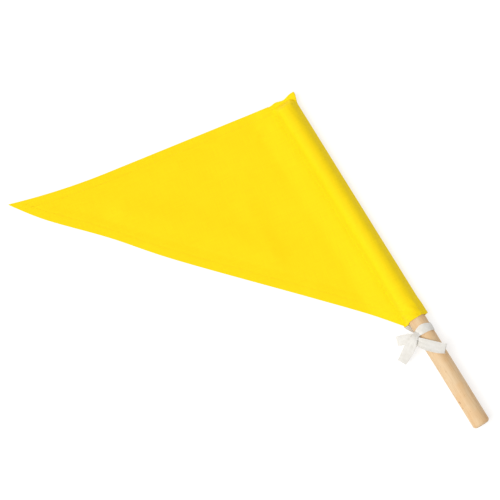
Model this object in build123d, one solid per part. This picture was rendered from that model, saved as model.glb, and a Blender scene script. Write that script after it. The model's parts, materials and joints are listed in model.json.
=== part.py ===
from build123d import *
import os
from math import cos, radians, sin

# A hand pennant: a triangular cotton flag whose hoist edge is sewn into a sleeve, closed at the
# top, on a round wooden stick. A cotton tape sewn to the sleeve's mouth is tied round the stick.
#
# The pennant lies on a table: +Z is up, +Y runs along the stick from the grip to its top end,
# and the flag flies towards -X. The shapes are drawn with x and y measured from the centre of
# the stick's top end, and they are moved at the end, so that the origin is the middle of the
# whole object's footprint, on the table. All dimensions are in millimetres.

# ---- stick ----
DOWEL_D = 18.0
DOWEL_LENGTH = 370.0
DOWEL_RIM_R = 3.5          # the rounded rim at each sawn end
DOWEL_Z = 10.2             # height of the stick's axis

# ---- cloth ----
CLOTH_T = 0.3
HEM_T = 3 * CLOTH_T        # a hem is the cloth and its two turned-under layers
HEM_W = 10.0
STITCH_INSET = 8.2         # from a hemmed edge to its row of stitches
THREAD_W = 0.8
THREAD_T = 0.25
CLEAR = 0.3                # air left between the stick and what is wrapped round it

# ---- sleeve ----
SLEEVE_TOP = 8.0           # the closed end's edge, beyond the stick
CLOSED_AT = 3.0            # where the two plies of the closed end come together
MOUTH_Y = -247.0           # the open end
SEAM_X = -12.0             # the plies part here, beside the stick
SEAM_Z = 4.5
SEAM_EDGE_X = -14.5
CREASE_X = 12.1            # the pressed fold on the sleeve's outer side
CREASE_Z = 8.4
REST_X = 3.5               # the back ply lies on the table this far each side of the stick's axis
EAR_X = 15.0               # the closed end's outer corner
EAR_Z = 7.5

# ---- flag ----
TIP = (-284.0, 62.0)
TOP_BEND = (-183.0, 36.7)  # the top edge is straight from the sleeve to here
TOP_CORNER = (-16.1, 8.4)
BOTTOM_CORNER = (-16.1, -244.6)
# The bottom edge wanders about its chord: share of the way from the tip, and distance outwards.
BOTTOM_WANDER = [(0.10, 3.3), (0.26, 1.8), (0.43, 3.5), (0.76, 0.0), (0.91, -1.2)]
RISE_X = -30.0             # from here the panel rises off the table to the seam
FOLD_X = -190.0            # the line that the tip folds over on
FOLD_GAP = 1.4             # each side of the fold line, so that the halves turn freely

# ---- tape ----
TAPE_W = 10.0
TAPE_T = 0.5
BAND_W = 9.0
BAND_Y = -256.5            # the upper edge of the turn round the stick
KNOT_CENTRE = (-12.3, -264.5, 16.4)
KNOT_SIZE = (5.4, 11.0, 10.0)
KNOT_ROUND = 2.0
# Start point, heading in plan, slope and length of each end of the bow.
LEFT_LOOP = ((-13.5, -262.0, 13.4), 157.7, -20.0, 18.0)
LEFT_TAIL = ((-13.5, -266.0, 17.0), 210.0, -26.0, 27.0)
RIGHT_LOOP = ((-11.0, -266.5, 20.8), -43.5, 5.0, 28.0)
RIGHT_TAIL = ((-11.0, -268.0, 19.35), -47.0, 3.0, 25.0)
LOOP_H = 2.2
ROOT_LENGTH = 5.5          # the tape that shows between the sleeve's mouth and the turn
ROOT_W = 6.0

BAND_R = DOWEL_D / 2 + CLEAR
CENTRE_X = (TIP[0] + EAR_X) / 2
CENTRE_Y = (TIP[1] - DOWEL_LENGTH) / 2


def along_stick(section, y_low, y_high):
    """Extrude a section drawn in x and z, from y_low to y_high."""
    return extrude(Plane.XZ.offset(-y_high) * section, amount=y_high - y_low)


def block(x_low, x_high, y_low, y_high, z_low, z_high):
    """A box given by its faces."""
    size = (x_high - x_low, y_high - y_low, z_high - z_low)
    centre = ((x_low + x_high) / 2, (y_low + y_high) / 2, (z_low + z_high) / 2)
    return Pos(*centre) * Box(*size)


# ---------------------------------------------------------------- stick
def make_dowel():
    """The round stick, sawn square at both ends, with well rounded rims."""
    stick = along_stick(Pos(0, DOWEL_Z) * Circle(DOWEL_D / 2), -DOWEL_LENGTH, 0)
    return fillet(stick.edges().filter_by(GeomType.CIRCLE), DOWEL_RIM_R)


# ---------------------------------------------------------------- sleeve
def sleeve_outline(radius, grow=0.0):
    """The sleeve's outer section: cloth drawn from its seam, round the stick, to its crease."""
    corner_r = HEM_T / 2
    corners = [(SEAM_X, SEAM_Z), (-REST_X, corner_r), (REST_X, corner_r),
               (CREASE_X + grow - corner_r, CREASE_Z)]
    rounds = (Pos(0, DOWEL_Z) * Circle(radius)).edges()
    for x, z in corners:
        rounds += (Pos(x, z) * Circle(corner_r)).edges()
    return make_hull(rounds)


def closed_end_section():
    """The closed end's section: six layers pressed flat, rising from the seam to the ear."""
    low = Pos(SEAM_EDGE_X + HEM_T, SEAM_Z) * Circle(HEM_T)
    high = Pos(EAR_X - HEM_T, EAR_Z) * Circle(HEM_T)
    return make_hull(low.edges() + high.edges())


def seam_layers(y_low, y_high):
    """The layers sewn flat together beside the stick, where the panel leaves the sleeve."""
    return block(SEAM_EDGE_X, SEAM_X, y_low, y_high, SEAM_Z - HEM_T / 2, SEAM_Z + HEM_T / 2)


def make_sleeve():
    """One ply round the stick, closed over its top end, with the layers sewn down at the seam."""
    outside = sleeve_outline(BAND_R + CLOTH_T)
    inside = offset(outside, amount=-CLOTH_T)
    tube = along_stick(outside - inside, MOUTH_Y + HEM_W, CLEAR)
    seam = seam_layers(MOUTH_Y + HEM_W, CLEAR)
    open_side = Plane.XZ.offset(-CLEAR) * outside
    shut_side = Plane.XZ.offset(-CLOSED_AT) * closed_end_section()
    end = loft([open_side, shut_side], ruled=True)
    return tube + (seam - along_stick(inside, MOUTH_Y, SLEEVE_TOP)) + end


def make_sleeve_top_hem():
    """The hem that closes the sleeve, with its corner standing out as an ear."""
    return along_stick(closed_end_section(), CLOSED_AT, SLEEVE_TOP)


def make_sleeve_mouth_hem():
    """The hem round the sleeve's open end: three layers."""
    outside = sleeve_outline(BAND_R + HEM_T, grow=HEM_T)
    inside = offset(outside, amount=-HEM_T)
    seam = seam_layers(MOUTH_Y, MOUTH_Y + HEM_W)
    collar = along_stick(outside - inside, MOUTH_Y, MOUTH_Y + HEM_W)
    return collar + (seam - along_stick(inside, MOUTH_Y, 0))


def make_sleeve_seam_stitching():
    """The row of stitches down the sleeve's seam."""
    middle = (SEAM_EDGE_X + SEAM_X) / 2
    top = SEAM_Z + HEM_T / 2
    return block(middle - THREAD_W / 2, middle + THREAD_W / 2, MOUTH_Y + HEM_W, 0,
                 top, top + THREAD_T)


def make_sleeve_top_stitching():
    """The row that sews the sleeve's end shut."""
    section = closed_end_section()
    row = Pos(0, THREAD_T) * section - section
    return along_stick(row, CLOSED_AT + 0.6, CLOSED_AT + 0.6 + THREAD_W)


def make_sleeve_mouth_stitching():
    """The row round the hem of the sleeve's mouth, over its front ply."""
    outside = sleeve_outline(BAND_R + HEM_T, grow=HEM_T)
    front = Pos(0, DOWEL_Z + CREASE_Z) * Rectangle(3 * DOWEL_D, 2 * DOWEL_Z)
    row = (offset(outside, amount=THREAD_T) - outside) & front
    middle = MOUTH_Y + STITCH_INSET
    return along_stick(row, middle - THREAD_W / 2, middle + THREAD_W / 2)


# ---------------------------------------------------------------- flag
def flag_outline():
    """The flag in plan, from the sleeve's seam to the tip."""
    tip, corner = Vector(*TIP), Vector(*BOTTOM_CORNER)
    chord = corner - tip
    outwards = Vector(chord.Y, -chord.X).normalized()
    wander = [tip + chord * share + outwards * away for share, away in BOTTOM_WANDER]
    straight = Line(TOP_CORNER, TOP_BEND)
    swept_tip = TangentArc(TOP_BEND, TIP, tangent=straight % 1)
    bottom = Spline(tip, *wander, corner)
    hoist = Line(BOTTOM_CORNER, TOP_CORNER)
    return make_face([straight, swept_tip, bottom, hoist])


def edge_band(outline, edge, near, far):
    """The part of the flag that lies between two distances from its top or bottom edge."""
    if edge == "top":
        start, end, side = TOP_CORNER, TOP_BEND, -1
    else:
        start, end, side = BOTTOM_CORNER, TIP, 1
    run = Vector(*end) - Vector(*start)
    per_mm = side * run.length / abs(run.X)
    return (outline & Pos(0, per_mm * near) * outline) - Pos(0, per_mm * far) * outline


def layer(low, high):
    """A layer of the flag, flat on the table out to the tip and rising to the seam at the hoist."""
    lift = SEAM_Z - HEM_T / 2
    side_view = Polygon(
        (BOTTOM_CORNER[0], lift + low), (BOTTOM_CORNER[0], lift + high), (RISE_X, high),
        (TIP[0], high), (TIP[0], low), (RISE_X, low), align=None)
    return along_stick(side_view, -DOWEL_LENGTH, DOWEL_LENGTH)


def flag_part(section, half, low, high):
    """The hoist half or the fly half of a plan section, in one layer of the flag."""
    reach = 400.0
    if half == "hoist":
        side = Pos(FOLD_X + FOLD_GAP + reach / 2, 0) * Rectangle(reach, 2 * reach)
    else:
        side = Pos(FOLD_X - FOLD_GAP - reach / 2, 0) * Rectangle(reach, 2 * reach)
    return extrude(section & side, amount=2 * SEAM_Z) & layer(low, high)


def make_flag():
    """The flag's panel, its turned hems and their stitching, on both sides of the fold line."""
    outline = flag_outline()
    bottom_hem = edge_band(outline, "bottom", 0, HEM_W)
    top_hem = edge_band(outline, "top", 0, HEM_W) - bottom_hem
    row_near, row_far = STITCH_INSET - THREAD_W / 2, STITCH_INSET + THREAD_W / 2
    bottom_row = edge_band(outline, "bottom", row_near, row_far)
    top_row = edge_band(outline, "top", row_near, row_far) - edge_band(outline, "bottom", 0, row_far)
    under = HEM_T - CLOTH_T
    pieces = {}
    for half in ("hoist", "fly"):
        pieces["flag_panel_" + half] = flag_part(outline, half, under, HEM_T)
        pieces["top_hem_" + half] = flag_part(top_hem, half, 0, under)
        pieces["bottom_hem_" + half] = flag_part(bottom_hem, half, 0, under)
        pieces["top_stitching_" + half] = flag_part(top_row, half, HEM_T, HEM_T + THREAD_T)
        pieces["bottom_stitching_" + half] = flag_part(bottom_row, half, HEM_T, HEM_T + THREAD_T)
    return pieces


# ---------------------------------------------------------------- tape
def tape_frame(start, heading, slope):
    """A frame at the start of a stretch of tape: x along it, y across it, z out of its face."""
    h, s = radians(heading), radians(slope)
    along = (cos(h) * cos(s), sin(h) * cos(s), sin(s))
    face = (-cos(h) * sin(s), -sin(h) * sin(s), cos(s))
    return Plane(origin=start, x_dir=along, z_dir=face)


def make_tape_loop(start, heading, slope, length):
    """A flattened loop of the bow: the tape out, round a tight fold and back."""
    side = SlotOverall(length, LOOP_H)
    ring = extrude(side - offset(side, amount=-TAPE_T), amount=TAPE_W / 2, both=True)
    lying = Pos(length / 2, 0, 0) * Rot(90, 0, 0) * ring
    return tape_frame(start, heading, slope) * lying


def make_tape_tail(start, heading, slope, length):
    """A free end of the tape."""
    return tape_frame(start, heading, slope) * Pos(length / 2, 0, 0) * Box(length, TAPE_W, TAPE_T)


def make_tie():
    """The turn round the stick, the knot beside it, and the bow's two loops and two ends."""
    ring = Pos(0, DOWEL_Z) * (Circle(BAND_R + TAPE_T) - Circle(BAND_R))
    core = along_stick(Pos(0, DOWEL_Z) * Circle(BAND_R + TAPE_T), -DOWEL_LENGTH, 0)
    knot = Box(*KNOT_SIZE)
    knot = Pos(*KNOT_CENTRE) * fillet(knot.edges(), KNOT_ROUND) - core
    return {
        "tie_band": along_stick(ring, BAND_Y - BAND_W, BAND_Y),
        "tie_knot": knot,
        "left_loop": make_tape_loop(*LEFT_LOOP) - knot,
        "left_tail": make_tape_tail(*LEFT_TAIL) - knot,
        "right_loop": make_tape_loop(*RIGHT_LOOP) - knot,
        "right_tail": make_tape_tail(*RIGHT_TAIL) - knot,
    }


def make_tape_root():
    """The end of the tape that comes out of the sleeve's mouth, where it is sewn in."""
    return block(SEAM_EDGE_X, SEAM_EDGE_X + ROOT_W, MOUTH_Y - ROOT_LENGTH, MOUTH_Y,
                 SEAM_Z - TAPE_T / 2, SEAM_Z + TAPE_T / 2)


def make_tape_tack():
    """Two short bars of stitches that hold the tape in the sleeve's mouth."""
    low, high = SEAM_EDGE_X + 0.2, SEAM_X - 0.7
    top = SEAM_Z + HEM_T / 2
    bars = [block(low, high, MOUTH_Y + y, MOUTH_Y + y + THREAD_W, top, top + THREAD_T)
            for y in (2.0, 5.0)]
    return bars[0] + bars[1]


# ---------------------------------------------------------------- assembly
def make_nodes():
    """Every node of the pennant, by name, about the stick's top end."""
    nodes = {
        "dowel": make_dowel(),
        "sleeve": make_sleeve(),
        "sleeve_top_hem": make_sleeve_top_hem(),
        "sleeve_mouth_hem": make_sleeve_mouth_hem(),
        "sleeve_seam_stitching": make_sleeve_seam_stitching(),
        "sleeve_top_stitching": make_sleeve_top_stitching(),
        "sleeve_mouth_stitching": make_sleeve_mouth_stitching(),
        "tape_root": make_tape_root(),
        "tape_tack_stitching": make_tape_tack(),
    }
    nodes.update(make_flag())
    nodes.update(make_tie())
    return nodes


os.makedirs("parts", exist_ok=True)
for name, shape in make_nodes().items():
    export_step(Pos(-CENTRE_X, -CENTRE_Y, 0) * shape, f"parts/{name}.step")
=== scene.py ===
import json
from math import cos, pi, radians, sin

import bmesh
import bpy
import numpy as np
from mathutils import Matrix, Vector


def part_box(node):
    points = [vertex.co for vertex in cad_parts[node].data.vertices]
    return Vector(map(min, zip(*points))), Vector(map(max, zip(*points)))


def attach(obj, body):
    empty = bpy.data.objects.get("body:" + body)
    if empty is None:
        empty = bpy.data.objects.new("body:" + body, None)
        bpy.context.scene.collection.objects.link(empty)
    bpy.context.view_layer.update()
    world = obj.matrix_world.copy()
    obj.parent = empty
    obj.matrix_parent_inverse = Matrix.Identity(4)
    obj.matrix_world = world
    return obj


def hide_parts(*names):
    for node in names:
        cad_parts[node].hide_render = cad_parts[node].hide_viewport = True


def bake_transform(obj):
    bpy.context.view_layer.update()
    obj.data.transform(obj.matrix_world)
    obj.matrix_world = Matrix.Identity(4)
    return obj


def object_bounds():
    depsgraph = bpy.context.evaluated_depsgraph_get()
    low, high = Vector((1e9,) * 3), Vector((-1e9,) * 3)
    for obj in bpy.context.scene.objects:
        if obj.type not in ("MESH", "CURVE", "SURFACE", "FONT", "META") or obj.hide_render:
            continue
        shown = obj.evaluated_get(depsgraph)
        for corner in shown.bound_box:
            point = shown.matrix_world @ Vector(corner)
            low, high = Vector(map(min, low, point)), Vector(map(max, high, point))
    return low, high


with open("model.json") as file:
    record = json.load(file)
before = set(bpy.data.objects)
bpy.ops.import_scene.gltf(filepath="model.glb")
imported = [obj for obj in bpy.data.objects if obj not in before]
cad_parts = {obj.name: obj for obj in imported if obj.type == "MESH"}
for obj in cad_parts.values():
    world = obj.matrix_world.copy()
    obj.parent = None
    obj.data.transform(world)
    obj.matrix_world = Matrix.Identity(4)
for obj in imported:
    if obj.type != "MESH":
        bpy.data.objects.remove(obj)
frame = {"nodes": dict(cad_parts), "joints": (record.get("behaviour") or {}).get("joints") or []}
cad_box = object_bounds()

# A hand pennant: a yellow cotton triangle whose hoist edge is sewn into a sleeve on a round wooden
# stick, with a white cotton tape sewn to the sleeve's mouth and tied in a bow round the stick.
#
# Shapes are drawn in millimetres, with x and y measured from the centre of the stick's top end
# (+y beyond that end, -x towards the flag's tip) and z up from the table. in_frame() turns them
# into the shared frame.

rng = np.random.default_rng(7)


# ---------------------------------------------------------------- places read from the frame
stick_low, stick_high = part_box("dowel")
ORIGIN = np.array([(stick_low.x + stick_high.x) / 2, stick_high.y, 0.0])
DOWEL_R = 500 * (stick_high.x - stick_low.x)
DOWEL_Z = 500 * (stick_high.z + stick_low.z)


def in_frame(points):
    """Points from millimetres about the stick's top end to metres in the shared frame."""
    return np.asarray(points, float) * 0.001 + ORIGIN


def box_mm(node):
    """The lowest and highest corner of a CAD node, in millimetres about the stick's top end."""
    return [(np.array(corner) - ORIGIN) * 1000 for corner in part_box(node)]


def joint_mm(name):
    """The point that a joint turns about, in millimetres about the stick's top end."""
    joint = next(j for j in frame["joints"] if j["name"] == name)
    return (np.array(joint["pos_m"]) - ORIGIN) * 1000


TIP = np.array([box_mm("flag_panel_fly")[0][0], box_mm("flag_panel_fly")[1][1]])
SEAM_EDGE_X = box_mm("sleeve")[0][0]
SEAM_Z = joint_mm("flag_flaps")[2]
FOLD_X = joint_mm("tip_folds")[0]
SLEEVE_TOP = box_mm("sleeve_top_hem")[1][1]
CLOSED_AT = box_mm("sleeve_top_hem")[0][1]
MOUTH_Y, HEM_START_Y = box_mm("sleeve_mouth_hem")[0][1], box_mm("sleeve_mouth_hem")[1][1]
EAR_X = box_mm("sleeve_top_hem")[1][0]
CREASE_X = box_mm("sleeve_mouth_hem")[1][0] - 0.9
HEM_W = HEM_START_Y - MOUTH_Y
TOP_CORNER = np.array([SEAM_EDGE_X, SLEEVE_TOP + 0.2])
BOTTOM_CORNER = np.array([SEAM_EDGE_X, MOUTH_Y + 0.9])

# ---------------------------------------------------------------- driving sizes, in millimetres
CLOTH_T = 0.26
LAYER = 0.3                # from one layer of a hem to the next, so a little air shows between them
HEM_END = 3.0              # the turned layers stop this far short of the tip
LEAST_HEM = 2.2            # the width that a hem keeps towards the tip
HEM_LIFT = 2 * LAYER + CLOTH_T / 2
TABLE_LIFT = 0.17          # the middle of the cloth where it lies on the table
STITCH_INSET = 8.2
STITCH_PITCH = 2.9
THREAD_R = 0.17
TOP_BEND_X = -183.0        # the top edge is straight from the sleeve to here, and then sweeps up
TOP_SLOPE = -0.1696
BOTTOM_WANDER = [(0, 0), (0.10, 3.3), (0.26, 1.8), (0.43, 3.5), (0.76, 0), (0.91, -1.2), (1, 0)]
RISE_X = -38.0             # from here the panel climbs off the table to the seam
SPLIT_X = -100.0           # the flag's hoist pieces and fly pieces meet here, in mid cloth
TAPE_W = 10.0
TAPE_T = 0.36
RIBBON_COLUMNS = 15        # points across the width of each tape


# ---------------------------------------------------------------- curves and grids
def smoothstep(low, high, value):
    """0 below low, 1 above high, and a smooth step between them."""
    share = np.clip((value - low) / (high - low), 0, 1)
    return share * share * (3 - 2 * share)


def bump(value, centre, width):
    """A smooth hill, 1 high at its centre."""
    return np.exp(-(((value - centre) / width) ** 2))


def curve_through(points, steps):
    """A Catmull-Rom curve through the points, with so many steps from each one to the next."""
    p = np.asarray(points, float)
    p = np.concatenate([[2 * p[0] - p[1]], p, [2 * p[-1] - p[-2]]])
    found = []
    for i in range(1, len(p) - 2):
        for t in np.arange(steps) / steps:
            a = 2 * p[i]
            b = (p[i + 1] - p[i - 1]) * t
            c = (2 * p[i - 1] - 5 * p[i] + 4 * p[i + 1] - p[i + 2]) * t**2
            d = (3 * p[i] - p[i - 1] - 3 * p[i + 1] + p[i + 2]) * t**3
            found.append((a + b + c + d) / 2)
    return np.array(found + [p[-2]])


def evenly(points, count):
    """The same line with its points evenly spaced."""
    points = np.asarray(points, float)
    steps = np.linalg.norm(np.diff(points, axis=0), axis=1)
    run = np.concatenate([[0], np.cumsum(steps)])
    places = np.linspace(0, run[-1], count)
    return np.stack([np.interp(places, run, points[:, i]) for i in range(points.shape[1])], axis=1)


def distance_to(line, x, y):
    """How far each place is from a line given by points close together."""
    gaps = np.stack([np.hypot(x - px, y - py) for px, py in line])
    return gaps.min(axis=0)


# ---------------------------------------------------------------- meshes
class Shape:
    """Vertices and faces collected from sheets and threads, then made into one piece."""

    def __init__(self):
        self.points = []
        self.places = []
        self.faces = []
        self.count = 0

    def add(self, points, faces, places=None):
        """Add vertices, with faces numbered from the first; places are (across, along) in metres."""
        points = np.asarray(points, float).reshape(-1, 3)
        self.points.append(points)
        self.places.append(np.zeros((len(points), 2)) if places is None else places)
        self.faces += [tuple(i + self.count for i in face) for face in faces]
        self.count += len(points)

    def add_sheet(self, grid, thickness):
        """A sheet given by the grid of points down its middle, closed round its edges."""
        grid = np.asarray(grid, float)
        rows, columns = grid.shape[:2]
        normal = np.cross(np.gradient(grid, axis=0), np.gradient(grid, axis=1))
        normal /= np.maximum(np.linalg.norm(normal, axis=2, keepdims=True), 1e-9)
        both = np.concatenate([grid + normal * thickness / 2, grid - normal * thickness / 2])
        other = rows * columns
        faces = []
        for r in range(rows - 1):
            for c in range(columns - 1):
                a = r * columns + c
                quad = (a, a + 1, a + columns + 1, a + columns)
                faces.append(quad)
                faces.append(tuple(i + other for i in reversed(quad)))
        rim = list(range(columns))
        rim += [r * columns + columns - 1 for r in range(1, rows)]
        rim += [(rows - 1) * columns + c for c in range(columns - 2, -1, -1)]
        rim += [r * columns for r in range(rows - 2, 0, -1)]
        for a, b in zip(rim, rim[1:] + rim[:1]):
            faces.append((b, a, a + other, b + other))
        across = np.linalg.norm(np.diff(grid, axis=1, prepend=grid[:, :1]), axis=2).cumsum(axis=1)
        along = np.linalg.norm(np.diff(grid, axis=0, prepend=grid[:1]), axis=2).mean(axis=1).cumsum()
        places = np.stack([across, np.repeat(along[:, None], columns, axis=1)], axis=2) * 0.001
        self.add(both, faces, np.tile(places.reshape(-1, 2), (2, 1)))

    def add_thread(self, line, radius, sides=6):
        """A thread along a line, tapered to nothing much at both ends."""
        line = np.asarray(line, float)
        along = np.gradient(line, axis=0)
        along /= np.linalg.norm(along, axis=1, keepdims=True)
        helper = np.array([0.3, 0.2, 0.93])
        side = np.cross(along, helper)
        side /= np.linalg.norm(side, axis=1, keepdims=True)
        up = np.cross(side, along)
        turns = np.arange(sides) * 2 * pi / sides
        girth = np.full(len(line), float(radius))
        girth[0] *= 0.45
        girth[-1] *= 0.45
        ring = np.cos(turns)[None, :, None] * side[:, None] + np.sin(turns)[None, :, None] * up[:, None]
        points = line[:, None] + ring * girth[:, None, None]
        faces = []
        for r in range(len(line) - 1):
            for c in range(sides):
                d = (c + 1) % sides
                faces.append((r * sides + c, r * sides + d, (r + 1) * sides + d, (r + 1) * sides + c))
        faces.append(tuple(range(sides - 1, -1, -1)))
        faces.append(tuple((len(line) - 1) * sides + c for c in range(sides)))
        self.add(points, faces)

    def make(self, name, material, slot, replaced):
        """The piece itself, which stands for the CAD nodes it replaces."""
        mesh = bpy.data.meshes.new(name)
        mesh.from_pydata(in_frame(np.concatenate(self.points)).tolist(), [], self.faces)
        work = bmesh.new()
        work.from_mesh(mesh)
        bmesh.ops.recalc_face_normals(work, faces=work.faces)
        work.to_mesh(mesh)
        work.free()
        cloth_map = mesh.uv_layers.new(name="cloth")
        corner = np.zeros(len(mesh.loops), int)
        mesh.loops.foreach_get("vertex_index", corner)
        cloth_map.uv.foreach_set("vector", np.concatenate(self.places)[corner].ravel())
        mesh.shade_smooth()
        mesh.set_sharp_from_angle(angle=radians(50))
        mesh.materials.append(material)
        piece = bpy.data.objects.new(name, mesh)
        bpy.context.scene.collection.objects.link(piece)
        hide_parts(*replaced)
        return piece


# ---------------------------------------------------------------- materials
class Nodes:
    """A material's node tree, with short ways to add to it. Lengths are in metres."""

    def __init__(self, name):
        self.material = bpy.data.materials.new(name)
        self.material.use_nodes = True
        self.tree = self.material.node_tree
        self.shader = self.tree.nodes["Principled BSDF"]
        self.coordinates = self.tree.nodes.new("ShaderNodeTexCoord")

    def add(self, kind, **settings):
        """A new node with its settings."""
        node = self.tree.nodes.new(kind)
        for name, value in settings.items():
            setattr(node, name, value)
        return node

    def link(self, output, entry):
        """Join an output to an input, or set the input to a plain value."""
        if isinstance(output, bpy.types.NodeSocket):
            self.tree.links.new(output, entry)
        else:
            entry.default_value = output

    def place(self, scale=(1, 1, 1), turn=(0, 0, 0)):
        """Object coordinates in metres, turned and then scaled."""
        turned = self.add("ShaderNodeMapping", vector_type="POINT")
        turned.inputs["Rotation"].default_value = turn
        self.link(self.coordinates.outputs["Object"], turned.inputs["Vector"])
        scaled = self.add("ShaderNodeMapping", vector_type="POINT")
        scaled.inputs["Scale"].default_value = scale
        self.link(turned.outputs["Vector"], scaled.inputs["Vector"])
        return scaled.outputs["Vector"]

    def noise(self, place, detail=2.0, roughness=0.5):
        """Noise of one unit of the given coordinates."""
        node = self.add("ShaderNodeTexNoise")
        node.inputs["Scale"].default_value = 1.0
        node.inputs["Detail"].default_value = detail
        node.inputs["Roughness"].default_value = roughness
        self.link(place, node.inputs["Vector"])
        return node.outputs["Fac"]

    def math(self, operation, a, b=0.0):
        """One sum."""
        node = self.add("ShaderNodeMath", operation=operation)
        self.link(a, node.inputs[0])
        self.link(b, node.inputs[1])
        return node.outputs[0]

    def ramp(self, value, stops):
        """A colour ramp; each stop is a place from 0 to 1 and a colour."""
        node = self.add("ShaderNodeValToRGB")
        while len(node.color_ramp.elements) < len(stops):
            node.color_ramp.elements.new(0.5)
        for element, (at, colour) in zip(node.color_ramp.elements, stops):
            element.position = at
            element.color = (*colour, 1.0)
        self.link(value, node.inputs["Fac"])
        return node.outputs["Color"]

    def mix(self, share, a, b, blend="MIX"):
        """A mix of two colours."""
        node = self.add("ShaderNodeMix", data_type="RGBA", blend_type=blend)
        self.link(share, node.inputs[0])
        self.link(a, node.inputs[6])
        self.link(b, node.inputs[7])
        return node.outputs[2]

    def weave(self, pitch, turn):
        """The height of a plain weave: crossings one pitch apart, turned in the flag's plane."""
        split = self.add("ShaderNodeSeparateXYZ")
        self.link(self.place(turn=(0, 0, turn)), split.inputs[0])
        waves = [self.math("SINE", self.math("MULTIPLY", split.outputs[i], pi / pitch)) for i in (0, 1)]
        return self.math("MULTIPLY", waves[0], waves[1])

    def bumps(self, *layers):
        """Bumps on one another; each is a height from 0 to 1 and its depth in metres."""
        normal = None
        for height, depth in layers:
            node = self.add("ShaderNodeBump")
            node.inputs["Distance"].default_value = depth
            self.link(height, node.inputs["Height"])
            if normal is not None:
                self.link(normal, node.inputs["Normal"])
            normal = node.outputs["Normal"]
        self.link(normal, self.shader.inputs["Normal"])


def matte(nodes, roughness, sheen, tint):
    """The shader settings that all the textiles share."""
    nodes.shader.inputs["Roughness"].default_value = roughness
    nodes.shader.inputs["Specular IOR Level"].default_value = 0.16
    nodes.shader.inputs["Sheen Weight"].default_value = sheen
    nodes.shader.inputs["Sheen Roughness"].default_value = 0.45
    nodes.shader.inputs["Sheen Tint"].default_value = (*tint, 1.0)


def yellow_cotton():
    """Plain-woven cotton: thread crossings, slubs both ways and a slightly uneven dye."""
    n = Nodes("yellow_cotton")
    turn = radians(9.6)
    dye = n.noise(n.place(scale=(24, 24, 24)), detail=3)
    colour = n.ramp(dye, [(0.25, (0.965, 0.692, 0.001)), (0.55, (0.975, 0.706, 0.002)),
                          (0.8, (0.98, 0.722, 0.003))])
    warp = n.noise(n.place(scale=(1900, 60, 60), turn=(0, 0, turn)))
    weft = n.noise(n.place(scale=(60, 1900, 60), turn=(0, 0, turn)))
    slub = n.math("MULTIPLY", warp, weft)
    thread = n.ramp(slub, [(0.12, (0.90, 0.88, 0.80)), (0.32, (1.0, 1.0, 1.0))])
    n.link(n.mix(0.55, colour, thread, "MULTIPLY"), n.shader.inputs["Base Color"])
    n.bumps((n.weave(0.00042, turn), 0.00004), (slub, 0.00012))
    matte(n, 0.72, 0.04, (1.0, 0.93, 0.55))
    return n.material


def thread_material(name, colour):
    """Sewing thread: two plies twisted together."""
    n = Nodes(name)
    twist = n.weave(0.00035, radians(55))
    shade = n.noise(n.place(scale=(900, 900, 900)))
    light = tuple(min(1.0, c * 1.04) for c in colour)
    dark = tuple(c * 0.92 for c in colour)
    n.link(n.ramp(shade, [(0.3, dark), (0.7, light)]), n.shader.inputs["Base Color"])
    n.bumps((twist, 0.00006))
    matte(n, 0.6, 0.1, (1.0, 1.0, 1.0))
    return n.material


TWILL_PITCH = 0.00085      # metres from one ridge of the tape's twill to the next
PICK_PITCH = 0.00042       # metres from one crossing thread of the tape to the next


def white_tape():
    """Narrow off-white cotton tape in a diagonal twill, a little yellowed and handled."""
    n = Nodes("white_tape")
    age = n.noise(n.place(scale=(160, 160, 160)), detail=3)
    colour = n.ramp(age, [(0.3, (0.77, 0.74, 0.68)), (0.6, (0.815, 0.79, 0.74)),
                          (0.8, (0.835, 0.815, 0.775))])
    fibre = n.noise(n.place(scale=(2600, 500, 900), turn=(0, 0, radians(30))))
    thread = n.ramp(fibre, [(0.3, (0.90, 0.89, 0.87)), (0.6, (1.0, 1.0, 1.0))])
    n.link(n.mix(0.5, colour, thread, "MULTIPLY"), n.shader.inputs["Base Color"])
    # The twill: ridges that climb one way across one half of the width and back on the other.
    split = n.add("ShaderNodeSeparateXYZ")
    n.link(n.coordinates.outputs["UV"], split.inputs[0])
    fold = n.math("ABSOLUTE", n.math("SUBTRACT", split.outputs[0], TAPE_W / 2000))
    climb = n.math("ADD", fold, split.outputs[1])
    ridge = n.math("SINE", n.math("MULTIPLY", climb, 2 * pi / TWILL_PITCH))
    pick = n.math("SINE", n.math("MULTIPLY", split.outputs[1], 2 * pi / PICK_PITCH))
    twill = n.math("ADD", ridge, n.math("MULTIPLY", pick, 0.5))
    n.bumps((twill, 0.00004), (fibre, 0.00008))
    matte(n, 0.85, 0.15, (1.0, 1.0, 1.0))
    return n.material


# Brown specks on the stick: x, y, width and length in millimetres.
SPECKS = [(-7.4, -339.5, 1.0, 2.6), (-7.9, -345.5, 0.7, 1.6), (-3.0, -352.0, 0.4, 1.5)]
RING_RATE = 3300.0         # radians of the ring pattern in a metre, which makes a ring each 1.9 mm


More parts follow.
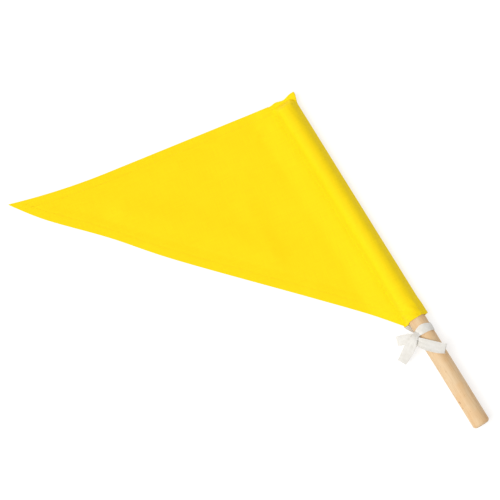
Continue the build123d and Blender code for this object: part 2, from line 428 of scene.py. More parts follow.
def dowel_wood():
    """Bare pale wood: long grain, short brown pores, broad warm streaks and ringed end grain."""
    n = Nodes("dowel_wood")
    lean = (0, 0, radians(5))
    broad = n.noise(n.place(scale=(130, 9, 130), turn=lean), detail=3)
    fine = n.noise(n.place(scale=(1500, 28, 1500), turn=(0, 0, radians(-2))), detail=3, roughness=0.6)
    pores = n.noise(n.place(scale=(2300, 210, 2300), turn=lean), detail=1)
    blotch = n.noise(n.place(scale=(75, 60, 75), turn=(0, 0, radians(35))), detail=2)
    body = n.ramp(broad, [(0.28, (0.66, 0.44, 0.245)), (0.45, (0.73, 0.52, 0.30)),
                          (0.62, (0.765, 0.565, 0.345)), (0.8, (0.785, 0.60, 0.385))])
    grain = n.ramp(fine, [(0.30, (0.86, 0.81, 0.75)), (0.55, (1.0, 1.0, 1.0))])
    pore = n.ramp(pores, [(0.24, (0.66, 0.52, 0.40)), (0.30, (1.0, 1.0, 1.0))])
    warm = n.ramp(blotch, [(0.35, (1.0, 0.90, 0.78)), (0.6, (1.0, 1.0, 1.0))])
    colour = n.mix(0.8, body, grain, "MULTIPLY")
    colour = n.mix(0.85, colour, pore, "MULTIPLY")
    colour = n.mix(0.8, colour, warm, "MULTIPLY")
    for x, y, wide, long in SPECKS:
        at = in_frame((x, y, DOWEL_Z + np.sqrt(DOWEL_R**2 - x**2)))
        moved = n.add("ShaderNodeMapping", vector_type="TEXTURE")
        moved.inputs["Location"].default_value = at
        moved.inputs["Rotation"].default_value = (0, 0, radians(8))
        moved.inputs["Scale"].default_value = (wide * 0.001, long * 0.001, 0.004)
        n.link(n.coordinates.outputs["Object"], moved.inputs["Vector"])
        length = n.add("ShaderNodeVectorMath", operation="LENGTH")
        n.link(moved.outputs["Vector"], length.inputs[0])
        uneven = n.math("ADD", length.outputs["Value"], n.math("MULTIPLY", fine, 0.7))
        speck = n.ramp(uneven, [(0.45, (0.50, 0.30, 0.17)), (1.0, (1.0, 1.0, 1.0))])
        colour = n.mix(0.8, colour, speck, "MULTIPLY")
    # The sawn ends show growth rings whose centre lies outside the stick, and are a little darker.
    facing = n.add("ShaderNodeSeparateXYZ")
    n.link(n.coordinates.outputs["Normal"], facing.inputs[0])
    end = n.math("GREATER_THAN", n.math("ABSOLUTE", facing.outputs[1]), 0.75)
    centre = n.add("ShaderNodeMapping", vector_type="TEXTURE")
    centre.inputs["Location"].default_value = in_frame((-16.0, 0.0, DOWEL_Z - 14.0))
    n.link(n.coordinates.outputs["Object"], centre.inputs["Vector"])
    flat = n.add("ShaderNodeVectorMath", operation="MULTIPLY")
    flat.inputs[1].default_value = (1.0, 0.0, 1.0)
    n.link(centre.outputs["Vector"], flat.inputs[0])
    reach = n.add("ShaderNodeVectorMath", operation="LENGTH")
    n.link(flat.outputs[0], reach.inputs[0])
    wander = n.math("MULTIPLY", n.noise(n.place(scale=(190, 190, 190)), detail=3), 5.0)
    outwards = n.math("MULTIPLY", reach.outputs["Value"], RING_RATE)
    rings = n.math("SINE", n.math("ADD", outwards, wander))
    ringed = n.ramp(n.math("MULTIPLY", n.math("ADD", rings, 1.0), 0.5),
                    [(0.1, (0.60, 0.41, 0.235)), (0.7, (0.69, 0.50, 0.305))])
    dirt = n.ramp(fine, [(0.3, (0.78, 0.72, 0.64)), (0.55, (1.0, 1.0, 1.0))])
    ringed = n.mix(0.8, ringed, dirt, "MULTIPLY")
    n.link(n.mix(end, colour, ringed), n.shader.inputs["Base Color"])
    n.bumps((fine, 0.00012), (pores, 0.00008))
    n.shader.inputs["Roughness"].default_value = 0.55
    n.shader.inputs["Specular IOR Level"].default_value = 0.35
    return n.material


COTTON = yellow_cotton()
YELLOW_THREAD = thread_material("yellow_thread", (0.965, 0.70, 0.007))
TAPE = white_tape()
WOOD = dowel_wood()


# ---------------------------------------------------------------- the flag's edges
def top_edge(x):
    """The top edge: straight out from the sleeve, then swept up to the tip."""
    straight = TOP_CORNER[1] + TOP_SLOPE * (x - TOP_CORNER[0])
    rise = TIP[1] - TOP_CORNER[1] - TOP_SLOPE * (TIP[0] - TOP_CORNER[0])
    past = np.clip((TOP_BEND_X - x) / (TOP_BEND_X - TIP[0]), 0, 1)
    return straight + rise * past**2


CHORD = BOTTOM_CORNER - TIP
OUTWARDS = np.array([CHORD[1], -CHORD[0]]) / np.hypot(*CHORD)
SHARES, AWAY = curve_through(BOTTOM_WANDER, 12).T
BOTTOM_LINE = TIP + CHORD * SHARES[:, None] + OUTWARDS * AWAY[:, None]
TOP_LEAN = cos(np.arctan(TOP_SLOPE))
BOTTOM_LEAN = abs(CHORD[0]) / np.hypot(*CHORD)


def bottom_edge(x):
    """The bottom edge, which wanders a little about a straight line."""
    return np.interp(x, BOTTOM_LINE[:, 0], BOTTOM_LINE[:, 1])


# ---------------------------------------------------------------- how the flag lies
# Soft waves left in the ironed cloth: the line of each crest, its height and its half width.
WAVES = [
    ([(-190, -8), (-150, -40), (-116, -72), (-94, -115)], 1.3, 14),
    ([(-83, -66), (-84, -100), (-87, -132)], 0.9, 9),
    ([(-44, -60), (-40, -120), (-42, -185)], 0.6, 11),
    ([(-70, 4), (-120, 8), (-170, 20)], 0.5, 12),
    ([(-140, -85), (-105, -125), (-75, -165)], 0.45, 12),
    ([(-225, 30), (-245, 42), (-262, 50)], 0.4, 9),
]
# Small puckers that fan out from where the flag is caught: start, end, height, half width.
PUCKERS = [
    ((-16, -236), (-30, -205), 0.7, 2.2),
    ((-17, -240), (-38, -222), 0.5, 2.0),
    ((-19, 3), (-44, -14), 0.4, 3.0),
    ((-17, -3), (-30, -40), 0.35, 3.0),
]


def panel_height(x, y):
    """Height of the middle of the panel's cloth above the table."""
    from_top = (top_edge(x) - y) * TOP_LEAN
    from_bottom = (y - bottom_edge(x)) * BOTTOM_LEAN
    inside = np.minimum(from_top, from_bottom)
    on_hem = 1 - smoothstep(HEM_W - 0.5, HEM_W + 7, inside)
    free = smoothstep(HEM_W - 2, HEM_W + 22, inside)
    height = TABLE_LIFT + (HEM_LIFT - TABLE_LIFT) * on_hem
    waves = 0.14 * (1 + np.sin(x / 17.0 + y / 31.0)) + 0.1 * (1 + np.sin(x / 23.0 - y / 13.0 + 1.0))
    for line, high, wide in WAVES:
        waves = waves + high * bump(distance_to(curve_through(line, 8), x, y), 0, wide)
    height = height + waves * free
    for start, end, high, wide in PUCKERS:
        line = np.linspace(start, end, 16)
        taper = np.clip((SEAM_EDGE_X - x) / 6, 0, 1)
        height = height + high * taper * bump(distance_to(line, x, y), 0, wide)
    # The thread draws the hem in, so that the edge between stitches is faintly scalloped.
    along = x / TOP_LEAN * (from_top < from_bottom) + x / BOTTOM_LEAN * (from_top >= from_bottom)
    drawn = bump(inside, STITCH_INSET, 1.3)
    height = height - 0.10 * drawn + 0.10 * drawn * np.sin(along / 5.1) * smoothstep(0, 3, inside)
    rise = smoothstep(RISE_X, SEAM_EDGE_X, x)
    return height * (1 - rise) + (SEAM_Z + LAYER / 2) * rise


def panel_columns(x_start, x_end):
    """Places along x, closer together where the flag bends at its seam and its fold."""
    places = [x_start]
    while places[-1] > x_end + 0.2:
        x = places[-1]
        near = min(abs(x - SEAM_EDGE_X), abs(x - FOLD_X))
        places.append(max(x_end, x - (0.8 if near < 9 else 2.0)))
    return np.array(places)


def flag_panel(x_start, x_end, rows):
    """The panel's cloth between two places along x, as a grid of points."""
    x = np.repeat(panel_columns(x_start, x_end)[:, None], rows, axis=1)
    share = np.linspace(0, 1, rows)[None, :]
    # Rows crowd towards the two hems, where the cloth steps down.
    share = share - 0.10 * np.sin(2 * pi * share) / (2 * pi)
    y = bottom_edge(x) + (top_edge(x) - bottom_edge(x)) * share
    return np.stack([x, y, panel_height(x, y)], axis=2)


def hem_profile(width):
    """A hem turned under twice: how far in from the edge, and how far below the panel."""
    turn = 0.33
    bend = width - 0.4
    outer = [(turn * (1 - sin(a)), LAYER * (1 - cos(a))) for a in np.linspace(0, pi, 9)]
    below = [(d, 2 * LAYER) for d in np.linspace(turn + 0.4, bend, 8)]
    inner = [(bend + 0.16 * sin(a), 2 * LAYER - 0.15 * (1 - cos(a))) for a in np.linspace(0.3, pi, 7)]
    tucked = [(d, LAYER) for d in np.linspace(width - 0.8, min(turn + 0.6, width / 2), 6)]
    return np.array([(turn, 0)] + outer[1:] + below + inner + tucked)


def flag_hem(which, x_start, x_end):
    """The turned-under layers along one edge of the flag, as a grid of points."""
    rows = []
    for x in panel_columns(x_start, x_end):
        top, bottom = top_edge(x), bottom_edge(x)
        width = top - bottom
        if which == "top":
            edge_y, slope, inwards = top, TOP_SLOPE, -1
            room = width * TOP_LEAN - HEM_W * TOP_LEAN / BOTTOM_LEAN
        else:
            edge_y, slope, inwards = bottom, CHORD[1] / CHORD[0], 1
            room = width * BOTTOM_LEAN * 0.9
        profile = hem_profile(min(HEM_W, max(room, LEAST_HEM)))
        # A step in from the edge is square to it, so it moves along x as well.
        step = np.array([-slope, 1.0]) / np.hypot(slope, 1.0) * inwards
        plan = np.array([x, edge_y]) + profile[:, :1] * step
        plan[:, 0] = np.minimum(plan[:, 0], SEAM_EDGE_X)
        # At the tip there is no room for the whole turn, so it's squeezed in under the panel.
        plan[:, 1] = np.clip(plan[:, 1], bottom_edge(plan[:, 0]), top_edge(plan[:, 0]))
        level = panel_height(plan[:, 0], plan[:, 1])
        rise = smoothstep(RISE_X, SEAM_EDGE_X, plan[:, 0])
        ground = HEM_LIFT + (level - HEM_LIFT) * rise
        rows.append(np.column_stack([plan, ground - profile[:, 1]]))
    return np.array(rows)


def stitches(shape, line, pitch=STITCH_PITCH, depth=0.0):
    """A row of lockstitches along a line on the cloth, and the same so far below it if asked."""
    total = np.linalg.norm(np.diff(line, axis=0), axis=1).sum()
    count = max(2, int(total / pitch))
    fine = evenly(line, count * 8 + 1)
    lift = np.array([-0.16, 0.06, 0.15, 0.19, 0.15, 0.06, -0.16])
    up = np.array([0.0, 0.0, 1.0])
    for i in range(count):
        run = fine[i * 8:i * 8 + 7]
        side = rng.normal(0, 0.03, 3) * (1, 1, 0)
        shape.add_thread(run + lift[:, None] * up + side, THREAD_R)
        if depth:
            shape.add_thread(run - (depth + lift[:, None] * 0.6) * up + side, THREAD_R * 0.8)


def hem_row(which, x_start, x_end):
    """The line that a hem's stitches follow, on top of the panel."""
    x = np.linspace(x_start, x_end, 240)
    if which == "top":
        y = top_edge(x) - STITCH_INSET / TOP_LEAN
    else:
        y = bottom_edge(x) + STITCH_INSET / BOTTOM_LEAN
    keep = (top_edge(x) - y > 3.0) & (y - bottom_edge(x) > 3.0)
    x, y = x[keep], y[keep]
    return np.stack([x, y, panel_height(x, y) + CLOTH_T / 2], axis=1)


SPANS = {"hoist": (SEAM_EDGE_X, SPLIT_X), "fly": (SPLIT_X, TIP[0] + 0.8)}
PANEL_ROWS = 110


def bend_with(piece):
    """Bake the piece's placement into its mesh."""
    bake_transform(piece)


def make_flag():
    """The panel, its two turned hems and their stitching, each in a hoist and a fly piece."""
    made = {}
    for half, (start, end) in SPANS.items():
        shape = Shape()
        shape.add_sheet(flag_panel(start, end, PANEL_ROWS), CLOTH_T)
        pieces = {"panel": shape.make(
            "flag_cloth_" + half, COTTON, "yellow_cotton", ["flag_panel_" + half])}
        row_start = SEAM_EDGE_X - 1.5 if half == "hoist" else start
        for which in ("top", "bottom"):
            shape = Shape()
            shape.add_sheet(flag_hem(which, start, max(end, TIP[0] + HEM_END)), CLOTH_T)
            pieces[which + "_hem"] = shape.make(
                f"{which}_hem_cloth_{half}", COTTON, "yellow_cotton", [f"{which}_hem_{half}"])
            shape = Shape()
            stitches(shape, hem_row(which, row_start, end), depth=0.66)
            pieces[which + "_row"] = shape.make(
                f"{which}_hem_stitches_{half}", YELLOW_THREAD, "yellow_thread",
                [f"{which}_stitching_{half}"])
        for piece in pieces.values():
            bend_with(piece)
        made[half] = pieces
    return made


# ---------------------------------------------------------------- the sleeve
def drawn_over(rounds, heading_from, heading_to, count):
    """The line of a cloth drawn tight over rounds (x, z, radius), between two outward headings."""
    found = []
    for heading in np.linspace(radians(heading_from), radians(heading_to), 720):
        out = np.array([cos(heading), sin(heading)])
        x, z, r = max(rounds, key=lambda c: c[0] * out[0] + c[1] * out[1] + c[2])
        found.append((x + r * out[0], z + r * out[1]))
    return evenly(found, count)


def softened(line, times):
    """The same line with its sharp bends eased, and its ends kept."""
    line = line.copy()
    for _ in range(times):
        line[1:-1] = (line[:-2] + 2 * line[1:-1] + line[2:]) / 4
    return line


SLEEVE_COUNT = 61          # points in each ply of the sleeve, from its seam to its crease
SLEEVE_LOW = 0.16          # the middle of its cloth is nowhere lower than this above the table
CREASE_Z = 8.4
EAR_Z = 7.6
MID_R = DOWEL_R + 0.3 + LAYER / 2


def open_section(grow):
    """The sleeve's section round the stick: the front ply and the back ply, seam to crease."""
    crease = (CREASE_X - 0.25 + grow, CREASE_Z, 0.25)
    seam = (SEAM_EDGE_X + 2.6, SEAM_Z, LAYER / 2)
    rounds = [(0, DOWEL_Z, MID_R + grow), crease, seam, (-3.5, 0.45, 0.27), (3.5, 0.45, 0.27)]
    front = drawn_over(rounds, 180, 0, SLEEVE_COUNT - 6)
    back = drawn_over(rounds, 180, 360, SLEEVE_COUNT - 6)
    tab = np.linspace(SEAM_EDGE_X, front[0][0] - 0.4, 6)
    front = np.vstack([np.column_stack([tab, np.full(6, SEAM_Z + LAYER / 2)]), front])
    back = np.vstack([np.column_stack([tab, np.full(6, SEAM_Z - LAYER / 2)]), back])
    front[:26] = softened(front[:26], 6)
    return evenly(front, SLEEVE_COUNT), evenly(back, SLEEVE_COUNT)


def shut_section():
    """The section of the closed end: both plies pressed flat, rising from the seam to the ear."""
    rounds = [(SEAM_EDGE_X, SEAM_Z, 0.62), (EAR_X - 0.75, EAR_Z, 0.62)]
    front = drawn_over(rounds, 100, 0, SLEEVE_COUNT)
    back = drawn_over(rounds, 275, 360, SLEEVE_COUNT)
    return front, back


OPEN_FRONT, OPEN_BACK = open_section(0.0)
MOUTH_FRONT, MOUTH_BACK = open_section(0.6)
SHUT_FRONT, SHUT_BACK = shut_section()

# Wrinkles of the front ply: start, end, height (below nought it's a valley), half width.
SLEEVE_WRINKLES = [
    ((-9.5, -233.5), (4.5, -244.5), -0.85, 1.3),
    ((-10.5, -238), (-3, -246), 0.5, 1.3),
    ((-2.5, -231), (6.5, -241), 0.4, 1.5),
    ((7.5, -235), (9.0, -246), -0.7, 1.0),
    ((5.0, -228), (8.0, -240), 0.4, 1.2),
    ((-6.8, -60), (-6.8, -200), -0.22, 1.3),
    ((-4, -2), (-8, -26), 0.25, 2.0),
    ((3, -3), (7, -22), -0.22, 1.6),
]


def section_at(y, front_ply):
    """One ply's line at a place along the stick, with the weight that shuts the sleeve's end."""
    if front_ply:
        opened, mouth, shut = OPEN_FRONT, MOUTH_FRONT, SHUT_FRONT
    else:
        opened, mouth, shut = OPEN_BACK, MOUTH_BACK, SHUT_BACK
    to_mouth = 1 - smoothstep(HEM_START_Y, HEM_START_Y + 9, y)
    line = opened + (mouth - opened) * to_mouth
    # Right of the stick's end nothing holds the plies apart, so they close sooner there.
    sooner = 4.0 * smoothstep(6.0, 12.0, line[:, 0])
    # The plies dome over the stick's rounded rim, and dive to where they meet.
    share = np.clip((y + 4.0 + sooner) / (CLOSED_AT + 4.2), 0, 1)[:, None] ** 3
    line = line * (1 - share) + shut * share
    # The pressed crease runs on out into the closed end's ear.
    ear = (EAR_X - CREASE_X) * smoothstep(-5.5, CLOSED_AT + 3.5, y)
    swing = smoothstep(0.72, 1.0, np.linspace(0, 1, len(line)))
    line[:, 0] += (ear - (EAR_X - 0.1 - CREASE_X) * share[:, 0]) * swing
    return line


def sleeve_ring(y, depth=0.0):
    """The sleeve's middle surface all round at one place, and so far inside it."""
    ring = np.vstack([section_at(y, True), section_at(y, False)[-2::-1]])
    out = np.gradient(ring, axis=0)
    out = np.column_stack([-out[:, 1], out[:, 0]])
    out /= np.maximum(np.linalg.norm(out, axis=1, keepdims=True), 1e-9)
    wrinkle = np.zeros(len(ring))
    if y < 1:
        for start, end, high, wide in SLEEVE_WRINKLES:
            line = np.linspace(start, end, 24)
            near = distance_to(line, ring[:, 0], np.full(len(ring), y))
            wrinkle += high * bump(near, 0, wide)
        wrinkle[SLEEVE_COUNT:] = 0
        wrinkle += 0.10 * np.sin(y / 9.0 + 1.0) * bump(np.arange(len(ring)), SLEEVE_COUNT * 0.72, 9)
    ring = ring + out * (wrinkle - depth)[:, None]
    ring[:, 1] = np.maximum(ring[:, 1], SLEEVE_LOW + depth)
    return ring


def closed_edge(ring):
    """How far the closed end's edge reaches beyond its plain line, dipping behind the stick."""
    x = ring[:, 0]
    return -1.9 * bump(x, 2.0, 5.5) - 0.35 * bump(x, -12, 3) + 0.3 * bump(x, -6, 3)


def mouth_edge(ring):
    """How far the mouth's edge is drawn up over the stick, and hangs down beside it."""
    over = smoothstep(DOWEL_Z - 2, DOWEL_Z + DOWEL_R, ring[:, 1])
    return 2.6 * over - 0.9 + 0.5 * smoothstep(9, 13, ring[:, 0])


def ring_points(ring, y):
    """A ring's points in space; y is one place or one for each point."""
    return np.column_stack([ring[:, 0], np.broadcast_to(y, len(ring)), ring[:, 1]])


def make_sleeve_cloth():
    """The sleeve's one ply: out from the seam over the stick, round the crease and back under."""
    places = np.concatenate([
        np.linspace(CLOSED_AT, -8, 34), np.linspace(-9.5, HEM_START_Y + 12, 92),
        np.linspace(HEM_START_Y + 10.5, HEM_START_Y, 12)])
    shape = Shape()
    shape.add_sheet([ring_points(sleeve_ring(y), y) for y in places], CLOTH_T)
    return shape.make("sleeve_cloth", COTTON, "yellow_cotton", ["sleeve"])


def turned_in(y_start, y_edge, edge_shift):
    """A sleeve end turned in twice: a list of rings, from the outside round to the raw edge."""
    towards = 1 if y_edge > y_start else -1
    inner_y = y_start + 0.5 * towards
    steps = [(y, 0.0) for y in np.linspace(y_start, y_edge - 1.2 * towards, 8)]
    steps += [(y_edge - (0.3 - 0.3 * sin(a)) * towards, 0.3 * (1 - cos(a)))
              for a in np.linspace(0, pi, 7)]
    steps += [(y, 2 * LAYER) for y in np.linspace(y_edge - 1.5 * towards, inner_y + 0.5 * towards, 6)]
    steps += [(inner_y - 0.15 * sin(a) * towards, 2 * LAYER - 0.15 * (1 - cos(a)))
              for a in np.linspace(0.2, pi, 5)]
    steps += [(y, LAYER) for y in np.linspace(inner_y + 0.6 * towards, y_edge - 1.4 * towards, 5)]
    rings = []
    for y, depth in steps:
        ring = sleeve_ring(min(y, SLEEVE_TOP), depth)
        along = np.clip((y - y_start) / (y_edge - y_start), 0, 1)
        rings.append(ring_points(ring, y + edge_shift(ring) * along))
    return rings


def make_sleeve_ends():
    """The hem that shuts the sleeve's top, and the hem round its mouth."""
    made = []
    for name, start, edge, shift, node in (
            ("sleeve_top_hem_cloth", CLOSED_AT, SLEEVE_TOP, closed_edge, "sleeve_top_hem"),
            ("sleeve_mouth_hem_cloth", HEM_START_Y, MOUTH_Y, mouth_edge, "sleeve_mouth_hem")):
        shape = Shape()
        shape.add_sheet(turned_in(start, edge, shift), CLOTH_T)
        made.append(shape.make(name, COTTON, "yellow_cotton", [node]))
    return made


ON_SEAM = SEAM_Z + LAYER / 2 + CLOTH_T / 2


def seam_row():
    """The row down the sleeve's seam."""
    shape = Shape()
    x = SEAM_EDGE_X + 1.25
    line = [(x, y, ON_SEAM) for y in np.linspace(0.5, HEM_START_Y + 0.5, 240)]
    stitches(shape, line, depth=0.55)
    return shape


def closed_row():
    """The row that shuts the sleeve's end, which dips towards the ear."""
    shape = Shape()
    ring = sleeve_ring(CLOSED_AT + 1.0)[2:SLEEVE_COUNT - 2]
    y = CLOSED_AT + 1.0 - 3.2 * smoothstep(6, 13, ring[:, 0])
    stitches(shape, ring_points(ring, y) + (0, 0, CLOTH_T / 2), pitch=2.6)
    return shape


def mouth_row():
    """The row round the mouth, over the front ply; each stitch spans four of the ring's steps."""
    shape = Shape()
    row_y = MOUTH_Y + STITCH_INSET
    ring = sleeve_ring(row_y)[9:SLEEVE_COUNT - 4]
    lift = np.array([-0.1, 0.1, 0.17, 0.2, 0.17, 0.1, -0.1]) + CLOTH_T / 2
    for i in range(0, len(ring) - 4, 4):
        part = ring[i:i + 5]
        out = np.array([part[0, 1] - part[-1, 1], part[-1, 0] - part[0, 0]])
        out /= np.linalg.norm(out)
        run = evenly(part, 8)[:7] + lift[:, None] * out
        shape.add_thread(ring_points(run, row_y + mouth_edge(run) * 0.15), THREAD_R)
    return shape


def tack_bars():
    """Two short bars that hold the tape in the mouth, each of three threads."""
    shape = Shape()
    x = np.linspace(SEAM_EDGE_X + 0.2, SEAM_EDGE_X + 1.9, 7)
    high = ON_SEAM + np.array([-0.1, 0.06, 0.1, 0.12, 0.1, 0.06, -0.1])
    for y in (MOUTH_Y + 2.4, MOUTH_Y + 5.4):
        for step in (-0.35, 0.0, 0.35):
            shape.add_thread(np.column_stack([x, np.full(7, y + step), high]), 0.16)
    return shape


def make_sleeve_stitching():
    """The rows down the seam, across the closed end and round the mouth, and the tape's tacks."""
    rows = (("sleeve_seam_stitches", seam_row, "sleeve_seam_stitching"),
            ("sleeve_top_stitches", closed_row, "sleeve_top_stitching"),
            ("sleeve_mouth_stitches", mouth_row, "sleeve_mouth_stitching"),
            ("tape_tack_stitches", tack_bars, "tape_tack_stitching"))
    return [row().make(name, YELLOW_THREAD, "yellow_thread", [node]) for name, row, node in rows]


# ---------------------------------------------------------------- the tape
def round_stick(angle, y, gap=0.0):
    """A point just outside the stick, at an angle up from its +x side."""
    r = DOWEL_R + 0.08 + TAPE_T / 2 + gap
    return (r * cos(radians(angle)), y, DOWEL_Z + r * sin(radians(angle)))


def off_the_stick(grid):
    """The same points, with any that lie inside the stick moved straight out to its surface."""
    across, up = grid[..., 0], grid[..., 2] - DOWEL_Z
    reach = np.hypot(across, up)
    push = np.maximum(1.0, (DOWEL_R + 0.08 + TAPE_T / 2) / np.maximum(reach, 1e-6))
    return np.stack([across * push, grid[..., 1], DOWEL_Z + up * push], axis=-1)


def ribbon(edges, steps, cup=0.25, gathers=(0.0, 0.0)):
    """A grid down the middle of a tape; edges holds a point of each selvedge, place by place.

    The tape is cupped across its width, and gathered into small pleats towards its two ends.
    """
    left = curve_through([pair[0] for pair in edges], steps)
    right = curve_through([pair[1] for pair in edges], steps)
    share = np.linspace(0, 1, RIBBON_COLUMNS)
    grid = left[:, None] * (1 - share)[None, :, None] + right[:, None] * share[None, :, None]
    normal = np.cross(np.gradient(grid, axis=0), np.gradient(grid, axis=1))
    normal /= np.maximum(np.linalg.norm(normal, axis=2, keepdims=True), 1e-9)
    run = np.linspace(0, 1, len(grid))[:, None]
    bow = cup * np.sin(pi * share)[None, :]
    pull = gathers[0] * (1 - run) ** 4 + gathers[1] * run**4
    folds = pull * np.sin(2.5 * 2 * pi * share + 0.6)[None, :]
    ripple = 0.08 * np.sin(run * 19 + share[None, :] * 3) * np.sin(pi * run)
    return off_the_stick(grid + normal * (bow + folds + ripple)[:, :, None])


def fray(shape, end, back, count):
    """Loose threads at a cut end: end is its line of points, back the line before it."""
    heading = (end - back) / np.linalg.norm(end - back, axis=1, keepdims=True)
    for _ in range(count):
        i = rng.integers(0, len(end))
        reach = rng.uniform(0.3, 1.3) * (1.5 if i in (0, len(end) - 1) else 1.0)
        sway = rng.normal(0, 0.28, 3)
        steps = np.linspace(0, 1, 6)[:, None]
        start = end[i] - heading[i] * 0.4 + rng.normal(0, 0.06, 3)
        line = start + heading[i] * (reach + 0.4) * steps + sway * reach * steps**2
        shape.add_thread(line, 0.07, sides=4)


ROOT_EDGES = [
    ((-13.2, -240.0, 4.1), (-7.4, -238.5, 2.7)),
    ((-14.3, -245.0, 4.0), (-8.2, -244.0, 2.2)),
    ((-14.6, -248.5, 4.2), (-7.6, -247.0, 1.9)),
    ((-12.6, -252.3, 4.4), (-5.2, -250.0, 1.25)),
    ((-10.2, -256.4, 4.9), round_stick(258, -253.0)),
]
BAND_EDGES = [
    ROOT_EDGES[-1][::-1],
    (round_stick(290, -254.0), round_stick(248, -261.0)),
    (round_stick(325, -255.4), round_stick(300, -264.2)),
    (round_stick(360, -257.3, 0.35), round_stick(358, -265.0, 0.3)),
    (round_stick(392, -256.3, 0.25), round_stick(388, -264.4, 0.2)),
    (round_stick(420, -254.4), round_stick(418, -263.3, 0.1)),
    (round_stick(448, -253.4), round_stick(446, -262.7, 0.2)),
    (round_stick(476, -254.2), round_stick(470, -262.5, 0.4)),
    (round_stick(500, -255.9, 0.3), round_stick(490, -262.4, 0.8)),
]
KNOT_TOP_EDGES = [
    ((-7.4, -256.0, 16.3), (-5.2, -262.4, 18.6)),
    ((-10.6, -257.2, 18.9), (-8.7, -262.9, 20.6)),
    ((-14.0, -258.9, 20.7), (-11.7, -265.6, 21.5)),
    ((-17.6, -260.4, 20.0), (-13.7, -268.4, 20.0)),
    ((-20.6, -261.5, 18.4), (-15.8, -270.9, 17.9)),
]
KNOT_CORE_EDGES = [
    ((-9.6, -257.6, 13.6), (-14.4, -258.4, 12.0)),
    ((-9.6, -258.0, 17.2), (-15.8, -258.8, 15.2)),
    ((-10.2, -260.6, 19.6), (-16.6, -262.4, 18.2)),
    ((-10.6, -265.0, 20.1), (-16.6, -266.8, 18.4)),
    ((-10.4, -268.9, 18.4), (-15.6, -269.9, 16.2)),
    ((-10.2, -269.2, 14.6), (-14.4, -269.4, 12.4)),
]
LEFT_LOOP_EDGES = [
    ((-10.6, -257.2, 17.6), (-13.6, -265.8, 17.0)),
    ((-15.0, -254.8, 17.2), (-18.2, -264.5, 16.6)),
    ((-20.5, -252.7, 14.9), (-23.4, -262.7, 14.4)),
    ((-25.0, -251.2, 13.0), (-27.9, -260.9, 12.4)),
    ((-27.0, -250.7, 10.9), (-29.8, -260.3, 10.3)),
    ((-25.1, -251.4, 8.7), (-27.9, -261.0, 8.2)),
    ((-19.6, -253.2, 9.0), (-22.4, -263.0, 8.6)),
    ((-14.6, -255.3, 11.4), (-17.4, -264.8, 11.2)),
    ((-10.8, -257.6, 13.6), (-13.4, -266.0, 13.4)),
]
LEFT_TAIL_EDGES = [
    KNOT_TOP_EDGES[-1],
    ((-24.2, -262.8, 16.0), (-19.6, -273.6, 14.6)),
    ((-29.4, -266.3, 12.3), (-24.3, -276.0, 11.2)),
    ((-33.6, -269.2, 9.4), (-28.8, -278.2, 8.6)),
    ((-37.0, -271.5, 7.6), (-32.5, -279.8, 7.0)),
]
RIGHT_LOOP_EDGES = [
    ((-8.6, -262.4, 20.0), (-13.4, -269.6, 18.6)),
    ((-4.4, -266.6, 20.9), (-10.4, -273.4, 20.6)),
    ((1.2, -272.2, 21.3), (-5.4, -279.2, 21.9)),
    ((6.8, -277.8, 21.2), (0.2, -285.2, 21.8)),
    ((11.0, -281.8, 20.8), (4.6, -288.7, 21.2)),
    ((12.0, -282.7, 20.2), (5.5, -289.5, 20.5)),
    ((10.6, -281.6, 19.6), (4.2, -288.5, 19.9)),
    ((5.8, -276.8, 19.9), (-1.2, -284.0, 20.2)),
    ((-2.0, -269.0, 19.8), (-7.8, -276.0, 19.6)),
    ((-8.6, -263.6, 19.0), (-12.8, -269.6, 17.4)),
]
RIGHT_TAIL_EDGES = [
    ((-9.2, -264.6, 18.0), (-13.2, -271.0, 16.6)),
    ((-3.6, -269.7, 19.0), (-9.0, -277.4, 18.4)),
    ((2.6, -275.5, 19.1), (-3.6, -283.2, 19.4)),
    ((8.0, -280.0, 18.9), (1.0, -287.2, 19.4)),
    ((12.4, -282.9, 18.4), (5.2, -290.0, 19.1)),
]


# Each stretch of the tape: its CAD node, its line, how far it is cupped, how deep it is gathered at
# its two ends, its loose threads, how it is held and what it rests on.
TAPE_STRETCHES = [
    ("tape_root", ROOT_EDGES, 0.2, (0.0, 0.0), 0, "hung", []),
    ("tie_band", BAND_EDGES, 0.1, (0.0, 0.2), 0, "stretched", ["dowel"]),
    ("left_loop", LEFT_LOOP_EDGES, -0.35, (0.3, 0.3), 0, "folded", ["tie_knot_wrap"]),
    ("left_tail", LEFT_TAIL_EDGES, 0.45, (0.2, 0.0), 26, "hung", ["tie_knot_wrap"]),
    ("right_loop", RIGHT_LOOP_EDGES, 0.25, (0.3, 0.3), 0, "folded", ["tie_knot_wrap", "dowel"]),
    ("right_tail", RIGHT_TAIL_EDGES, 0.2, (0.3, 0.0), 26, "laid", ["tie_knot_wrap", "dowel"]),
]


def make_tape():
    """The tape: its sewn root, its turn round the stick, the knot, two loops and two ends."""
    made = {}
    for node, edges, cup, gathers, loose_threads, _, _ in TAPE_STRETCHES:
        shape = Shape()
        grid = ribbon(edges, 10, cup, gathers)
        shape.add_sheet(grid, TAPE_T)
        if loose_threads:
            fray(shape, grid[-1], grid[-3], loose_threads)
        made[node] = shape.make(node + "_ribbon", TAPE, "white_tape", [node])
    knot = Shape()
    knot.add_sheet(ribbon(KNOT_CORE_EDGES, 8, 0.3), TAPE_T * 1.6)
    knot.add_sheet(ribbon(KNOT_TOP_EDGES, 10, 0.45, (0.2, 0.2)), TAPE_T)
    made["tie_knot"] = knot.make("tie_knot_wrap", TAPE, "white_tape", ["tie_knot"])
    return made


# ---------------------------------------------------------------- assembly
flag = make_flag()
sleeve_cloth = make_sleeve_cloth()
top_hem, mouth_hem = make_sleeve_ends()
sleeve_rows = make_sleeve_stitching()
tape = make_tape()

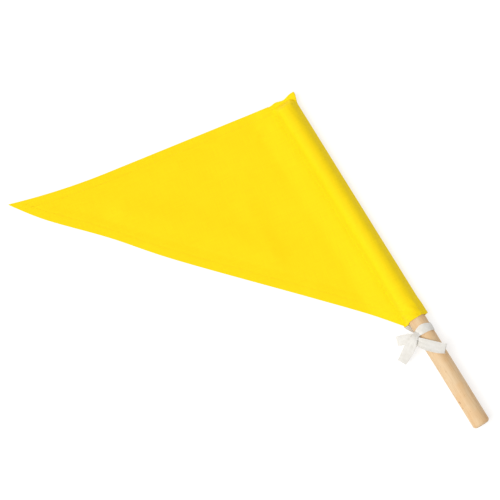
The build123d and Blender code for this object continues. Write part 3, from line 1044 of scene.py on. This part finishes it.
for part in (sleeve_cloth, top_hem, mouth_hem, *sleeve_rows):
    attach(part, "sleeve")
for node, part in tape.items():
    if node != "tape_root":
        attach(part, "tie")
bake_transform(tape["tape_root"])

dowel = frame["nodes"]["dowel"]
if not dowel.material_slots:
    dowel.data.materials.append(WOOD)
for material_slot in dowel.material_slots:
    material_slot.material = WOOD


# ---------------------------------------------------------------- floor, light and camera
def make_stage():
    """A pale floor that glows like a light box, a soft key light and white light all round."""
    scene = bpy.context.scene
    scene.view_settings.view_transform = "Standard"
    floor_mesh = bpy.data.meshes.new("floor")
    far = 9.0              # metres from the middle to each side
    corners = [(-far, -far, 0), (far, -far, 0), (far, far, 0), (-far, far, 0)]
    floor_mesh.from_pydata(corners, [], [(0, 1, 2, 3)])
    floor = bpy.data.objects.new("floor", floor_mesh)
    scene.collection.objects.link(floor)
    n = Nodes("pale_floor")
    patches = n.noise(n.place(scale=(2, 2, 2)))
    tone = n.ramp(patches, [(0.3, (0.39, 0.39, 0.39)), (0.7, (0.41, 0.41, 0.41))])
    n.link(tone, n.shader.inputs["Base Color"])
    n.shader.inputs["Roughness"].default_value = 0.9
    n.shader.inputs["Specular IOR Level"].default_value = 0.1
    n.shader.inputs["Emission Color"].default_value = (1.0, 1.0, 1.0, 1.0)
    n.shader.inputs["Emission Strength"].default_value = 0.66
    floor_mesh.materials.append(n.material)
    floor.location.z = -0.0001
    world = bpy.data.worlds.new("studio")
    world.use_nodes = True
    world.node_tree.nodes["Background"].inputs["Color"].default_value = (1.0, 1.0, 1.0, 1.0)
    world.node_tree.nodes["Background"].inputs["Strength"].default_value = 0.58
    scene.world = world
    light = bpy.data.lights.new("key_light", "SUN")
    light.energy = 1.99
    light.angle = radians(45)
    lamp = bpy.data.objects.new("key_light", light)
    lamp.rotation_mode = "QUATERNION"
    lamp.rotation_quaternion = Vector((-0.50, 0.15, 0.85)).to_track_quat("Z", "Y")
    scene.collection.objects.link(lamp)


def make_camera():
    """A long lens straight above, with the stick running down to the right."""
    distance = 5.0         # metres, and so is the field
    field = 0.4945
    data = bpy.data.cameras.new("camera")
    data.sensor_width = 36.0
    data.lens = data.sensor_width * distance / field
    data.clip_end = 50.0
    camera = bpy.data.objects.new("camera", data)
    lean = radians(31.8)
    right = Vector((cos(lean), -sin(lean), 0))
    up = Vector((sin(lean), cos(lean), 0))
    turned = Matrix((right, up, Vector((0, 0, 1)))).transposed()
    camera.rotation_mode = "QUATERNION"
    camera.rotation_quaternion = turned.to_quaternion()
    low, high = cad_box
    # The photo's centre lies this far from the middle of the object's box.
    aim = (low + high) / 2 + Vector((0.0306, 0.0516, 0))
    camera.location = (aim.x, aim.y, distance)
    bpy.context.scene.collection.objects.link(camera)
    bpy.context.scene.camera = camera


make_stage()
make_camera()


def length_of(line):
    """The length of a line of points, in metres."""
    return float(np.linalg.norm(np.diff(line, axis=0), axis=1).sum()) / 1000


length_of(sleeve_ring(-125.0))

for node, edges, _, _, _, held, under in TAPE_STRETCHES:
    middle = ribbon(edges, 10)[:, RIBBON_COLUMNS // 2]
